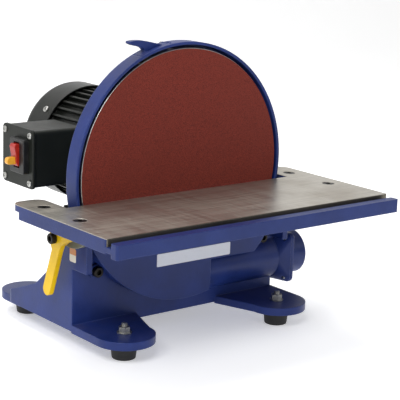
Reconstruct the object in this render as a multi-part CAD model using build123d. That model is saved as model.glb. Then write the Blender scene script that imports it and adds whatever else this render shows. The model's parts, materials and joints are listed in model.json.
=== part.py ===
"""Twelve inch bench disc sander with a direct-drive motor and a tilting cast table.

Each separate piece of the machine is built below as its own solid, or as a group
of identical solids, and written to parts/NAME.step.

While it is being built the model has its origin in the middle of the disc's
working face: +X runs along the table, +Y points back to the motor and +Z up.
The last section moves everything so that the origin is under the middle of the
whole machine, on the surface that it stands on.  Lengths are millimetres.
"""
from build123d import *
import os
from math import asin, cos, degrees, hypot, radians, sin, sqrt

# ---------------------------------------------------------------- driving sizes
DISC_DIAMETER = 304.8          # twelve inch sanding disc
DISC_THICKNESS = 12.0          # aluminium plate behind the abrasive
ABRASIVE_THICKNESS = 1.2
AXIS_HEIGHT = 208.0            # disc axis above the bench

TABLE_LENGTH = 434.0           # along X
TABLE_FRONT = 145.0            # from the disc face to the ground front edge
EAR_REACH = 54.0               # how far the table's ears reach behind the disc face
TABLE_DROP = 27.0              # table top below the disc axis
TABLE_THICKNESS = 8.0
SKIRT_DEPTH = 17.0             # overall depth of the table's rim
TABLE_GAP = 2.5                # working gap from table to abrasive
NOTCH_GAP = 15.0               # from the disc guard to each ear

GUARD_CLEARANCE = 4.1          # disc rim to the inside of the guard
GUARD_WALL = 3.5
GUARD_FRONT = 0.0              # front lip of the guard
GUARD_BACK = 22.0              # rear face of the guard's back plate

BODY_WIDTH = 320.0             # base casting
BODY_FRONT = 6.0               # its front panel
BODY_BOTTOM_GAP = 23.0         # panel above the bench
WALL = 8.0

MOTOR_RADIUS = 68.0
FIN_RADIUS = 75.0
FIN_COUNT = 40
MOTOR_FRONT = 70.0             # first fin
MOTOR_BACK = 212.0             # last fin
MOTOR_FOOT_DROP = 88.0         # soles of the motor feet below the axis
FAN_COVER_RADIUS = 78.5
FAN_COVER_BACK = 262.0
SHAFT_RADIUS = 12.5

FOOT_RADIUS = 17.0
FOOT_HEIGHT = 21.0

RUNNING = 0.05                 # radial clearance of a running fit
THREAD = 0.05                  # radial clearance of a screw in its tapped hole
HOLE = 0.4                     # radial clearance of a screw in a plain hole
SLIDE = 0.3                    # gap between faces that move past each other

# ------------------------------------------------------- sizes that follow them
disc_r = DISC_DIAMETER / 2
disc_back = ABRASIVE_THICKNESS + DISC_THICKNESS
guard_in = disc_r + GUARD_CLEARANCE
guard_out = guard_in + GUARD_WALL
floor_z = -AXIS_HEIGHT
table_top = -TABLE_DROP
table_under = table_top - TABLE_THICKNESS
skirt_under = table_top - SKIRT_DEPTH
half_table = TABLE_LENGTH / 2
half_body = BODY_WIDTH / 2
body_bottom = floor_z + BODY_BOTTOM_GAP
tab_bottom = floor_z + FOOT_HEIGHT

parts = {}


# ---------------------------------------------------------------- small helpers
def block(x0, x1, y0, y1, z0, z1):
    """A box between two corners."""
    return Pos((x0 + x1) / 2, (y0 + y1) / 2, (z0 + z1) / 2) * Box(x1 - x0, y1 - y0, z1 - z0)


def rod_y(radius, y0, y1, x=0.0, z=0.0):
    """A cylinder along Y."""
    return Pos(x, (y0 + y1) / 2, z) * Rot(90, 0, 0) * Cylinder(radius, y1 - y0)


def rod_x(radius, x0, x1, y=0.0, z=0.0):
    """A cylinder along X."""
    return Pos((x0 + x1) / 2, y, z) * Rot(0, 90, 0) * Cylinder(radius, x1 - x0)


def rod_z(radius, z0, z1, x=0.0, y=0.0):
    """A cylinder along Z."""
    return Pos(x, y, (z0 + z1) / 2) * Cylinder(radius, z1 - z0)


def side_plate(points, x0, x1):
    """A plate with its outline in the YZ plane, from x0 to x1."""
    outline = make_face(Polyline(*[(0, y, z) for y, z in points], close=True))
    return Pos(x0, 0, 0) * extrude(outline, x1 - x0, dir=(1, 0, 0))


def plan_plate(points, z0, z1):
    """A plate with its outline in the XY plane, from z0 to z1."""
    outline = make_face(Polyline(*[(x, y, 0) for x, y in points], close=True))
    return Pos(0, 0, z0) * extrude(outline, z1 - z0, dir=(0, 0, 1))


def front_plate(points, y0, y1):
    """A plate with its outline in the XZ plane, from y0 to y1."""
    outline = make_face(Polyline(*[(x, 0, z) for x, z in points], close=True))
    return Pos(0, y0, 0) * extrude(outline, y1 - y0, dir=(0, 1, 0))


def tangent_bar(start, start_r, end, end_r):
    """Corner points of the straight-sided outline that joins two circles."""
    across = end[0] - start[0]
    up = end[1] - start[1]
    length = hypot(across, up)
    lean = asin((start_r - end_r) / length)
    corners = []
    for side in (1, -1):
        pair = []
        for centre, radius in ((start, start_r), (end, end_r)):
            along = sin(lean) * radius
            out = side * cos(lean) * radius
            pair.append((centre[0] + (across * along - up * out) / length,
                         centre[1] + (up * along + across * out) / length))
        corners.append(pair)
    return [corners[0][0], corners[0][1], corners[1][1], corners[1][0]]


def hexagon(across_flats, height):
    """A hexagonal prism standing on its own centre."""
    return extrude(RegularPolygon(across_flats / 2, 6, major_radius=False), height)


def hex_nut(across_flats, height, bore):
    """A plain nut from z = 0 upwards, with chamfered corners."""
    blank = hexagon(across_flats, height)
    crown = Cone(across_flats / 2 + height, across_flats / 2, height)
    return (blank & Pos(0, 0, height / 2) * crown) - Cylinder(bore, 3 * height)


def socket_screw(radius, length, head_r, head_h):
    """A socket-head cap screw: shank down from z = 0 and head above it."""
    socket = Pos(0, 0, head_h * 0.45) * hexagon(head_r * 0.95, head_h)
    head = Pos(0, 0, head_h / 2) * Cylinder(head_r, head_h)
    head = chamfer(head.edges().group_by(Axis.Z)[-1], head_h * 0.08)
    return (head - socket) + rod_z(radius, -length, 0)


def pan_screw(radius, length, head_r, head_h):
    """A domed screw with a cross recess: shank down from z = 0."""
    head = Pos(0, 0, head_h / 2) * Cylinder(head_r, head_h)
    head = fillet(head.edges().group_by(Axis.Z)[-1], head_h * 0.7)
    bar = Box(head_r * 1.1, head_r * 0.28, head_h)
    cross = Pos(0, 0, head_h) * (bar + Rot(0, 0, 90) * bar)
    return (head - cross) + rod_z(radius, -length, 0)


def hex_screw(radius, length, across_flats, head_h):
    """A hexagon-head screw: shank down from z = 0."""
    return hexagon(across_flats, head_h) + rod_z(radius, -length, 0)


def facing_front(x, y, z):
    """Place a screw whose head faces -Y."""
    return Pos(x, y, z) * Rot(90, 0, 0)


def facing_left(x, y, z):
    """Place a screw whose head faces -X."""
    return Pos(x, y, z) * Rot(0, -90, 0)


def facing_right(x, y, z):
    """Place a screw whose head faces +X."""
    return Pos(x, y, z) * Rot(0, 90, 0)


def group(solids):
    """Identical pieces kept together as separate solids."""
    return Compound(children=list(solids))


# ------------------------------------------------------------------ foot places
FRONT_FOOT = (122.0, -50.0)
REAR_FOOT = (124.0, 165.0)
FRONT_LOBE = half_body - FRONT_FOOT[0]      # round foot pad, flush with the side
REAR_LOBE = 34.0
PAD_TOP = 31.0                              # top of the foot pads above the bench
PAD_RIB = 5.0
PAD_SKIN = 5.0
STUD_RADIUS = 4.0
pad_top = floor_z + PAD_TOP
front_feet = [(side * FRONT_FOOT[0], FRONT_FOOT[1]) for side in (-1, 1)]
rear_feet = [(side * REAR_FOOT[0], REAR_FOOT[1]) for side in (-1, 1)]

# -------------------------------------------------- trunnions and the tilt axis
TRUNNION_RADIUS = 50.0
TRUNNION_THICKNESS = 8.0
SLOT_RADIUS = 29.0
PIN_RADIUS = 4.0
GUIDE_ANGLES = (-78.0, -102.0)              # guide pins on the slot, from +Y
LOCK_RADIUS = 40.0                          # lock screw from the tilt axis
LOCK_ANGLE = -74.0
TILT_DOWN = 45.0
TILT_UP = 10.0
EAR_FRONT = -24.0
EAR_BOTTOM = -106.0
EAR_TOP = -48.5
EAR_CORNER = 16.0                           # ear's front corner, cut for the tilting table
BODY_TOP = -46.0
BODY_BACK = 52.0                            # rear of the tall front part
trunnion_in = half_body + SLIDE
trunnion_out = trunnion_in + TRUNNION_THICKNESS

# --------------------------------------------------------- dust duct at the right
DUCT_Y = 20.0
DUCT_Z = -138.0
DUCT_RADIUS = 30.0
DUCT_START = 40.0
DUCT_END = 178.0
PORT_SIDE = 68.0
PORT_PLATE = 5.0
PORT_RADIUS = 30.0
PORT_WALL = 3.0
PORT_LENGTH = 26.0
DUCT_WALL = 5.0

# --------------------------------------------------------------- lower front cover
COVER_FRONT = -12.0
COVER_WALL = 4.0
COVER_TOP = -64.0
cover_out = guard_out + COVER_WALL
COVER_SCREW = 4.0
COVER_SCREW_REACH = 7.2                     # screw circle outside the cover's rim
COVER_SCREW_ANGLES = (-139.0, -38.0)
COVER_LUG = 8.5
DUCT_EDGE = -119.0                          # the flat front ends here over the duct
DUCT_INNER = -2.5                           # inside of the cover where the duct bulges out
cover_screw_r = cover_out + COVER_SCREW_REACH
cover_screw_places = [(cover_screw_r * cos(radians(a)), cover_screw_r * sin(radians(a)))
                      for a in COVER_SCREW_ANGLES]

# ------------------------------------------------------------- motor on its platform
PLATFORM_HALF = 80.0
PLATFORM_BACK = 176.0
MOTOR_BOLT = 5.0
MOTOR_FEET = (86.0, 168.0)                  # front and rear ends of the motor feet
MOTOR_FOOT_OUTER = 78.0
MOTOR_FOOT_INNER = 48.0
MOTOR_FOOT_THICKNESS = 10.0
motor_sole = -MOTOR_FOOT_DROP
motor_bolt_x = MOTOR_FOOT_OUTER - 11
motor_bolt_places = [(side * motor_bolt_x, y) for side in (-1, 1)
                     for y in (MOTOR_FEET[0] + 14, MOTOR_FEET[1] - 14)]

# ------------------------------------------------------------------ smaller screws
GUARD_SCREW = 3.0
GUARD_SCREW_Z = -52.0
guard_screw_places = [(side * x, GUARD_SCREW_Z) for side in (-1, 1) for x in (60.0, 125.0)]
PORT_SCREW = 2.5
port_reach = PORT_SIDE / 2 - 7
port_screw_places = [(DUCT_Y + i * port_reach, DUCT_Z + j * port_reach)
                     for i in (-1, 1) for j in (-1, 1)]


def on_trunnion(radius, angle):
    """Y and Z of a point about the tilt axis, at an angle from +Y towards +Z."""
    return (radius * cos(radians(angle)), table_top + radius * sin(radians(angle)))


# ------------------------------------------------------------------- base casting
def foot_lobe(side, place, radius, root, inset, z0, z1):
    """One splayed foot pad: a round end that runs into the body along its side."""
    x, y = place
    inner_root, back = root
    round_end = Pos(side * x, y, (z0 + z1) / 2) * Cylinder(radius - inset, z1 - z0)
    outer = x + radius - inset
    web = plan_plate([(side * outer, y), (side * outer, back),
                      (side * (inner_root + inset), back),
                      (side * (x - radius + inset), y)], z0, z1)
    return round_end + web


def duct_solid():
    """The outside of the dust duct, which flares to the square port at its end."""
    tube = rod_x(DUCT_RADIUS, DUCT_START, DUCT_END - 1, DUCT_Y, DUCT_Z)
    narrow = Plane.YZ.offset(DUCT_END - 18) * Pos(DUCT_Y, DUCT_Z)
    wide = Plane.YZ.offset(DUCT_END) * Pos(DUCT_Y, DUCT_Z)
    side = 2 * DUCT_RADIUS
    flare = loft([narrow * RectangleRounded(side, side, DUCT_RADIUS * 0.95),
                  wide * RectangleRounded(PORT_SIDE, PORT_SIDE, 8)])
    return tube + flare


def duct_bore():
    """The inside of the dust duct."""
    return rod_x(DUCT_RADIUS - DUCT_WALL, DUCT_START + DUCT_WALL, DUCT_END + 1, DUCT_Y, DUCT_Z)


def in_front(shape, plane_y):
    """The half of a shape that lies in front of a plane across Y."""
    return split(shape, Plane.XZ.offset(-plane_y), keep=Keep.TOP)


def behind(shape, plane_y):
    """The half of a shape that lies behind a plane across Y."""
    return split(shape, Plane.XZ.offset(-plane_y), keep=Keep.BOTTOM)


def base_casting():
    """The hollow cast body, with its feet, ears, motor platform and half of the duct."""
    side_outline = [(BODY_FRONT, body_bottom), (BODY_FRONT, BODY_TOP), (BODY_BACK, BODY_TOP),
                    (BODY_BACK, -100), (62, -122), (88, -144), (120, -157),
                    (150, -168), (160, pad_top - 1), (160, body_bottom)]
    body = side_plate(side_outline, -half_body, half_body)
    body = fillet(body.edges().filter_by(Axis.Z).sort_by(Axis.Y)[-2:], 14)
    platform = block(-PLATFORM_HALF, PLATFORM_HALF, BODY_BACK - 4, PLATFORM_BACK,
                     body_bottom, motor_sole)
    body = body + fillet(platform.edges().filter_by(Axis.Z).sort_by(Axis.Y)[-2:], 14)
    for side in (-1, 1):
        ear_x = sorted((side * (half_body - WALL), side * half_body))
        body = body + side_plate([(EAR_FRONT, EAR_BOTTOM), (EAR_FRONT, EAR_TOP - EAR_CORNER),
                                  (EAR_FRONT + EAR_CORNER, EAR_TOP), (BODY_FRONT + 2, EAR_TOP),
                                  (BODY_FRONT + 2, EAR_BOTTOM)], *ear_x)
        for place, radius, root in ((FRONT_FOOT, FRONT_LOBE, (64.0, BODY_FRONT + 1)),
                                    (REAR_FOOT, REAR_LOBE, (88.0, 130.0))):
            lobe = foot_lobe(side, place, radius, root, 0.0, tab_bottom, pad_top)
            lobe = lobe - foot_lobe(side, place, radius, root, PAD_RIB,
                                    tab_bottom - 1, pad_top - PAD_SKIN)
            boss = rod_z(FOOT_RADIUS - 2, tab_bottom, pad_top - 1, side * place[0], place[1])
            body = body + (lobe + boss)

    # hollow inside the walls, open below
    inside = half_body - WALL
    body = body - block(-inside, inside, GUARD_BACK + 6, BODY_BACK - WALL,
                        floor_z, BODY_TOP - WALL)
    body = body - block(WALL - PLATFORM_HALF, PLATFORM_HALF - WALL, BODY_BACK - WALL - 1,
                        PLATFORM_BACK - WALL, floor_z, motor_sole - WALL)
    body = body - block(-inside, inside, BODY_BACK - WALL - 1, 152, floor_z, pad_top - 1)
    # the duct, and the round pocket that the lower half of the disc runs in
    body = body + behind(duct_solid(), BODY_FRONT)
    body = body - rod_y(guard_out, EAR_FRONT - 10, GUARD_BACK) - duct_bore()

    for x, y in front_feet:
        body = body - rod_z(STUD_RADIUS + HOLE, tab_bottom - 5, pad_top + 5, x, y)
    for x, y in rear_feet:
        body = body - rod_z(STUD_RADIUS + THREAD, tab_bottom - 1, pad_top - 2, x, y)
    for x, y in motor_bolt_places:
        body = body - rod_z(MOTOR_BOLT + THREAD, motor_sole - 20, 0, x, y)
    for side in (-1, 1):
        hole_x = sorted((side * (half_body - 20), side * (half_body + 20)))
        for angle in GUIDE_ANGLES:
            place = on_trunnion(SLOT_RADIUS, angle)
            body = body - rod_x(PIN_RADIUS + THREAD, *hole_x, *place)
    for x, z in cover_screw_places:
        body = body - rod_y(COVER_SCREW + THREAD, EAR_FRONT, BODY_FRONT + 14, x, z)
    for x, z in guard_screw_places:
        body = body - rod_y(GUARD_SCREW + THREAD, GUARD_BACK - 1, GUARD_BACK + 14, x, z)
    for y, z in port_screw_places:
        body = body - rod_x(PORT_SCREW + THREAD, DUCT_END - 9, DUCT_END + 1, y, z)
    return body


parts["base_casting"] = base_casting()

# ------------------------------------------------------- feet, studs and their nuts
NUT_FLATS = 13.0
STUD_NUT = 6.5
WASHER = 1.6
FOOT_BORE = 6.0                             # bottom of the fixing hole in a foot
nut_z = pad_top + WASHER
foot = Pos(0, 0, FOOT_HEIGHT / 2) * Cone(FOOT_RADIUS - 2.5, FOOT_RADIUS, FOOT_HEIGHT)
foot = fillet(foot.edges().sort_by(Axis.Z)[0], 1.5)
plain_foot = foot - rod_z(STUD_RADIUS + THREAD, FOOT_BORE, FOOT_HEIGHT + 1)
sunk_foot = foot - rod_z(STUD_RADIUS + THREAD, 0, FOOT_HEIGHT + 1) - rod_z(8.0, -1, 9)
parts["rubber_feet"] = group([Pos(x, y, floor_z) * plain_foot for x, y in front_feet]
                             + [Pos(x, y, floor_z) * sunk_foot for x, y in rear_feet])
stud = chamfer(rod_z(STUD_RADIUS, floor_z + FOOT_BORE, nut_z + STUD_NUT + 4.5).edges(), 0.8)
parts["foot_studs"] = group(Pos(x, y, 0) * stud for x, y in front_feet)
washer = rod_z(9.0, 0, WASHER) - rod_z(STUD_RADIUS + HOLE, -1, WASHER + 1)
parts["foot_washers"] = group(Pos(x, y, pad_top) * washer for x, y in front_feet)
nut = hex_nut(NUT_FLATS, STUD_NUT, STUD_RADIUS + THREAD)
parts["foot_nuts"] = group(Pos(x, y, nut_z) * nut for x, y in front_feet)
foot_screw = pan_screw(STUD_RADIUS, 18, 7.0, 3.5)
parts["rear_foot_screws"] = group(Pos(x, y, floor_z + 9) * Rot(180, 0, 0) * foot_screw
                                  for x, y in rear_feet)

# ------------------------------------------------------------ guard over the disc
GUARD_SEAM = -38.0                          # lower end of the guard's rim
GUARD_SKIN = 3.5                            # back plate
HUB_HOLE = 36.0
BRAKE_PIVOT_X = -22.0                       # lever's pin
BRAKE_Y = (9.5, 18.5)                       # lever across Y
SHOE_X = (-67.0, -54.0)                     # widened part that holds the shoe
SHOE_Y = (3.0, 18.5)
BRAKE_GAP = 0.8
BRAKE_PIN = 1.0
BARREL = 2.0                                # lever's rolled end, flush in the rim
brake_pivot_z = sqrt((guard_out - BARREL) ** 2 - BRAKE_PIVOT_X ** 2)


def disc_guard():
    """The arched guard: rim and back plate, with the slot and the lugs of the brake."""
    rim = rod_y(guard_out, GUARD_FRONT, GUARD_BACK) - rod_y(guard_in, GUARD_FRONT - 1,
                                                            GUARD_BACK - GUARD_SKIN)
    rim = rim - block(-200, 200, GUARD_FRONT - 1, GUARD_BACK + 1, -200, GUARD_SEAM)
    tongue = block(-140, 140, GUARD_BACK - GUARD_SKIN, GUARD_BACK, -62, GUARD_SEAM + 1)
    shell = rim + fillet(tongue.edges().filter_by(Axis.Y).sort_by(Axis.Z)[:2], 6)
    shell = shell - rod_y(HUB_HOLE, GUARD_BACK - 10, GUARD_BACK + 1)
    for x, z in guard_screw_places:
        shell = shell - rod_y(GUARD_SCREW + HOLE, GUARD_BACK - 10, GUARD_BACK + 1, x, z)
    lug_outer = (BRAKE_Y[0] - BRAKE_GAP - 3, GUARD_BACK)
    shell = shell + rod_y(BARREL + 0.6, *lug_outer, BRAKE_PIVOT_X, brake_pivot_z)
    shell = shell - rod_y(guard_in, GUARD_FRONT - 1, GUARD_BACK - GUARD_SKIN)
    shell = shell - rod_y(BRAKE_PIN + THREAD, lug_outer[0] - 1, GUARD_BACK + 1,
                          BRAKE_PIVOT_X, brake_pivot_z)
    high = (guard_in - 40, guard_out + 8)
    shell = shell - block(SHOE_X[0] - BRAKE_GAP, BRAKE_PIVOT_X + BARREL + 2,
                          BRAKE_Y[0] - BRAKE_GAP, BRAKE_Y[1] + BRAKE_GAP, *high)
    return shell - block(SHOE_X[0] - BRAKE_GAP, SHOE_X[1] + BRAKE_GAP,
                         SHOE_Y[0] - BRAKE_GAP, SHOE_Y[1] + BRAKE_GAP, *high)


parts["disc_guard"] = disc_guard()
guard_screw = hex_screw(GUARD_SCREW, GUARD_SKIN + 8, 9.0, 3.5)
parts["guard_screws"] = group(facing_front(x, GUARD_BACK - GUARD_SKIN, z) * guard_screw
                              for x, z in guard_screw_places)


# --------------------------------------------- front cover over the disc's lower half
def lower_cover():
    """Half-round pan in front of the pocket, with the front half of the duct."""
    pan = rod_y(cover_out, COVER_FRONT, BODY_FRONT) - rod_y(guard_out, COVER_FRONT + COVER_WALL,
                                                            BODY_FRONT + 1)
    pan = pan - block(-200, 200, COVER_FRONT - 1, BODY_FRONT + 1, COVER_TOP, 200)
    pan = pan - block(DUCT_START, 200, COVER_FRONT - 1, BODY_FRONT + 1, -200, DUCT_EDGE)
    for x, z in cover_screw_places:
        pan = pan + rod_y(COVER_LUG, BODY_FRONT - 5, BODY_FRONT, x, z)
    duct = in_front(duct_solid(), BODY_FRONT) - duct_bore()
    pan = pan + (duct - rod_y(guard_out, DUCT_INNER, BODY_FRONT + 1))
    for x, z in cover_screw_places:
        pan = pan - rod_y(COVER_SCREW + HOLE, COVER_FRONT, BODY_FRONT + 1, x, z)
    for y, z in port_screw_places:
        pan = pan - rod_x(PORT_SCREW + THREAD, DUCT_END - 9, DUCT_END + 1, y, z)
    return pan


parts["lower_cover"] = lower_cover()
cover_screw = socket_screw(COVER_SCREW, 5 + 9, 6.5, 7.0)
parts["cover_screws"] = group(facing_front(x, BODY_FRONT - 5, z) * cover_screw
                              for x, z in cover_screw_places)
NAME_PLATE = (-47.0, 71.0, -116.5, -100.0)  # left, right, bottom and top
plate = block(NAME_PLATE[0], NAME_PLATE[1], COVER_FRONT - 0.6, COVER_FRONT,
              NAME_PLATE[2], NAME_PLATE[3])
parts["name_plate"] = fillet(plate.edges().filter_by(Axis.Y), 1.5)

# ------------------------------------------------------------------------ dust port
port_plate = Plane.YZ * RectangleRounded(PORT_SIDE, PORT_SIDE, 8)
port = Pos(DUCT_END, DUCT_Y, DUCT_Z) * extrude(port_plate, PORT_PLATE)
port = port + rod_x(PORT_RADIUS, DUCT_END, DUCT_END + PORT_PLATE + PORT_LENGTH, DUCT_Y, DUCT_Z)
port = port - rod_x(PORT_RADIUS - PORT_WALL, DUCT_END - 1,
                    DUCT_END + PORT_PLATE + PORT_LENGTH + 1, DUCT_Y, DUCT_Z)
for y, z in port_screw_places:
    port = port - rod_x(PORT_SCREW + HOLE, DUCT_END - 1, DUCT_END + PORT_PLATE + 1, y, z)
parts["dust_port"] = port
port_screw = pan_screw(PORT_SCREW, PORT_PLATE + 7, 4.6, 3.0)
parts["port_screws"] = group(facing_right(DUCT_END + PORT_PLATE, y, z) * port_screw
                             for y, z in port_screw_places)

# ----------------------------------------------------- disc, abrasive and its hub
BARE_RIM = 0.8                              # edge of the plate outside the abrasive
HUB_RADIUS = 26.0
HUB_BACK = 53.0
SHAFT_FRONT = 5.0
KEY_WIDTH = 6.0
KEY_RISE = 2.5                              # key above the shaft
KEY_SPAN = (20.0, 46.0)
SET_SCREW = 3.0
SET_SCREW_Y = 36.0
key_top = SHAFT_RADIUS + KEY_RISE
parts["abrasive_disc"] = rod_y(disc_r - BARE_RIM, 0, ABRASIVE_THICKNESS)
plate = rod_y(disc_r, ABRASIVE_THICKNESS, disc_back)
plate = fillet(plate.edges(), 0.8) + rod_y(HUB_RADIUS, disc_back, HUB_BACK)
plate = plate - rod_y(SHAFT_RADIUS + THREAD, SHAFT_FRONT - 0.5, HUB_BACK + 1)
plate = plate - block(-KEY_WIDTH / 2 - THREAD, KEY_WIDTH / 2 + THREAD,
                      KEY_SPAN[0] - 0.5, HUB_BACK + 1, 0, key_top + THREAD)
plate = plate - rod_z(SET_SCREW + THREAD, key_top, HUB_RADIUS + 1, 0, SET_SCREW_Y)
plate = plate - rod_x(SET_SCREW + THREAD, SHAFT_RADIUS, HUB_RADIUS + 1, SET_SCREW_Y, 0)
parts["disc_plate"] = plate
parts["hub_key"] = block(-KEY_WIDTH / 2, KEY_WIDTH / 2, *KEY_SPAN,
                         SHAFT_RADIUS - 3.5, key_top)
set_screw = rod_z(SET_SCREW, 0, 8) - Pos(0, 0, 5) * hexagon(3.0, 4)
parts["hub_screws"] = group([
    Pos(0, SET_SCREW_Y, key_top + THREAD) * set_screw,
    Pos(SHAFT_RADIUS + THREAD, SET_SCREW_Y, 0) * Rot(0, 90, 0) * set_screw])

# ---------------------------------------------------------------- motor, outside in
FIN_THICKNESS = 2.6
FRAME_BORE = 62.0
BELL_FRONT = 57.0
BELL_BACK = 226.0
BELL_RADIUS = 70.0
BEARING_OUT = 26.0
BEARING_IN = 12.6
BEARING_WIDTH = 14.0
bearing_front_y = (BELL_FRONT + 6, BELL_FRONT + 6 + BEARING_WIDTH)
bearing_back_y = (BELL_BACK - 6 - BEARING_WIDTH, BELL_BACK - 6)
PAD_FACE = 82.0                             # terminal pad for the switch box
BOX_Y = (106.0, 176.0)
BOX_Z = (-28.0, 44.0)
box_y = (BOX_Y[0] + BOX_Y[1]) / 2
box_z = (BOX_Z[0] + BOX_Z[1]) / 2
PAD_SCREW = 2.0
pad_screw_places = [(box_y + i * 19, box_z + j * 18) for i in (-1, 1) for j in (-1, 1)]


def motor_frame():
    """The finned cylinder of the motor, with its feet and the pad for the switch."""
    section = Circle(MOTOR_RADIUS)
    fin = Pos((MOTOR_RADIUS + FIN_RADIUS) / 2 - 1, 0) * Rectangle(
        FIN_RADIUS - MOTOR_RADIUS + 2, FIN_THICKNESS)
    for i in range(FIN_COUNT):
        turn = 360.0 * i / FIN_COUNT
        if not 235 < turn < 305:
            section = section + Rot(0, 0, turn) * fin
    section = section - Circle(FRAME_BORE)
    frame = Pos(0, MOTOR_BACK, 0) * Rot(90, 0, 0) * extrude(section, MOTOR_BACK - MOTOR_FRONT)
    for side in (-1, 1):
        sole_x = sorted((side * MOTOR_FOOT_INNER, side * MOTOR_FOOT_OUTER))
        sole = block(*sole_x, *MOTOR_FEET, motor_sole, motor_sole + MOTOR_FOOT_THICKNESS)
        web_x = sorted((side * MOTOR_FOOT_INNER, side * (MOTOR_FOOT_INNER + 8)))
        web = block(*web_x, *MOTOR_FEET, motor_sole, -45)
        frame = frame + ((sole + web) - rod_y(FRAME_BORE + 1, 0, 300))
    frame = frame + (block(-PAD_FACE, -60, box_y - 25, box_y + 25, box_z - 24, box_z + 24)
                     - rod_y(FRAME_BORE + 1, 0, 300))
    for x, y in motor_bolt_places:
        frame = frame - rod_z(MOTOR_BOLT + HOLE, motor_sole - 1, motor_sole + 20, x, y)
    for y, z in pad_screw_places:
        frame = frame - rod_x(PAD_SCREW + THREAD, -PAD_FACE - 1, -PAD_FACE + 9, y, z)
    return frame - rod_x(9.0, -PAD_FACE - 1, -FRAME_BORE + 2, box_y, box_z)


parts["motor_frame"] = motor_frame()


def end_bell(plate_y, spigot_end, bearing_y, shaft_hole):
    """A bell with a spigot in the motor's bore and a seat for its bearing."""
    inward = 1 if spigot_end > plate_y else -1
    rim_end = MOTOR_FRONT if inward > 0 else MOTOR_BACK
    bell = rod_y(BELL_RADIUS, *sorted((plate_y, rim_end)))
    bell = fillet(bell.edges().sort_by(Axis.Y)[0 if inward > 0 else -1], 6)
    bell = bell + rod_y(FRAME_BORE - THREAD, *sorted((rim_end, spigot_end)))
    inner = sorted((plate_y + inward * 5, spigot_end + inward))
    bell = bell - (rod_y(FRAME_BORE - 6, *inner) - rod_y(BEARING_OUT + 5, *inner))
    seat = (bearing_y[0], spigot_end + 1) if inward > 0 else (spigot_end - 1, bearing_y[1])
    bell = bell - rod_y(BEARING_OUT + THREAD, *seat)
    return bell - rod_y(shaft_hole, *sorted((plate_y - inward, spigot_end + inward)))


parts["front_bell"] = end_bell(BELL_FRONT, MOTOR_FRONT + 7, bearing_front_y, SHAFT_RADIUS + 1)
parts["rear_bell"] = end_bell(BELL_BACK, MOTOR_BACK - 7, bearing_back_y, SHAFT_RADIUS + 1)


def bearing(y0, y1):
    """A shielded ball bearing, shown as one ring with a groove in each face."""
    ring = rod_y(BEARING_OUT, y0, y1) - rod_y(BEARING_IN, y0 - 1, y1 + 1)
    ring = chamfer(ring.edges().filter_by(GeomType.CIRCLE), 0.6)
    groove = rod_y(BEARING_OUT - 3.5, 0, 0.8) - rod_y(BEARING_IN + 3, -1, 1)
    return ring - Pos(0, y0 - 0.01, 0) * groove - Pos(0, y1 - 0.79, 0) * groove


parts["front_bearing"] = bearing(*bearing_front_y)
parts["rear_bearing"] = bearing(*bearing_back_y)
STACK = (96.0, 188.0)                       # laminated cores
ROTOR_RADIUS = 38.0
AIR_GAP = 0.5
WINDING = 16.0
core = rod_y(FRAME_BORE - THREAD, *STACK) - rod_y(ROTOR_RADIUS + AIR_GAP, STACK[0] - 1,
                                                 STACK[1] + 1)
parts["stator_core"] = core
ring = rod_y(57.0, 0, WINDING) - rod_y(44.0, -1, WINDING + 1)
ring = fillet(ring.edges(), 3)
parts["stator_windings"] = group([Pos(0, STACK[0] - WINDING, 0) * ring,
                                  Pos(0, STACK[1], 0) * ring])
rotor = rod_y(ROTOR_RADIUS, *STACK) - rod_y(SHAFT_RADIUS + THREAD, STACK[0] - 1, STACK[1] + 1)
parts["rotor_core"] = rotor
FAN_Y = (234.0, 252.0)
shaft = rod_y(SHAFT_RADIUS, SHAFT_FRONT, FAN_Y[1] + 2)
shaft = chamfer(shaft.edges(), 1.0)
shaft = shaft - block(-KEY_WIDTH / 2 - THREAD, KEY_WIDTH / 2 + THREAD, KEY_SPAN[0] - THREAD,
                      KEY_SPAN[1] + THREAD, SHAFT_RADIUS - 3.5 - THREAD, SHAFT_RADIUS + 1)
parts["motor_shaft"] = shaft

# ------------------------------------------------------- cooling fan and its cover
FAN_RADIUS = 62.0
FAN_BLADES = 9
COVER_SHEET = 1.6
FAN_COVER_FRONT = 207.0
FAN_SCREW = 2.0
FAN_SCREW_Y = 222.0
FAN_SCREW_ANGLES = (38.0, 142.0, 218.0, 322.0)
fan = rod_y(20.0, *FAN_Y) + rod_y(FAN_RADIUS, FAN_Y[0], FAN_Y[0] + 2.5)
blade = block(15, FAN_RADIUS - 1, FAN_Y[0] + 1, FAN_Y[1] - 1, -1.2, 1.2)
for i in range(FAN_BLADES):
    fan = fan + Rot(0, 360.0 * i / FAN_BLADES, 0) * blade
parts["cooling_fan"] = fan - rod_y(SHAFT_RADIUS + THREAD, FAN_Y[0] - 1, FAN_Y[1] + 1)


def fan_cover():
    """A drawn sheet cap over the fan, with rings of slots in its rear face."""
    cap = rod_y(FAN_COVER_RADIUS, FAN_COVER_FRONT, FAN_COVER_BACK)
    cap = fillet(cap.edges().sort_by(Axis.Y)[-1], 14)
    inner = rod_y(FAN_COVER_RADIUS - COVER_SHEET, FAN_COVER_FRONT, FAN_COVER_BACK - COVER_SHEET)
    inner = fillet(inner.edges().sort_by(Axis.Y)[-1], 14 - COVER_SHEET)
    cap = cap - inner
    for radius, count in ((26.0, 8), (38.0, 12), (50.0, 16)):
        arc = degrees(4.0 / radius)
        for i in range(count):
            cut = Pos(radius, FAN_COVER_BACK - 2, 0) * Box(7.5, 10, 2 * radius * 3.14 / count - 6)
            cap = cap - Rot(0, 360.0 * i / count + arc, 0) * cut
    for angle in FAN_SCREW_ANGLES:
        hole = rod_x(FAN_SCREW + HOLE, FAN_COVER_RADIUS - 8, FAN_COVER_RADIUS + 8, FAN_SCREW_Y, 0)
        cap = cap - Rot(0, -angle, 0) * hole
    return cap


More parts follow.
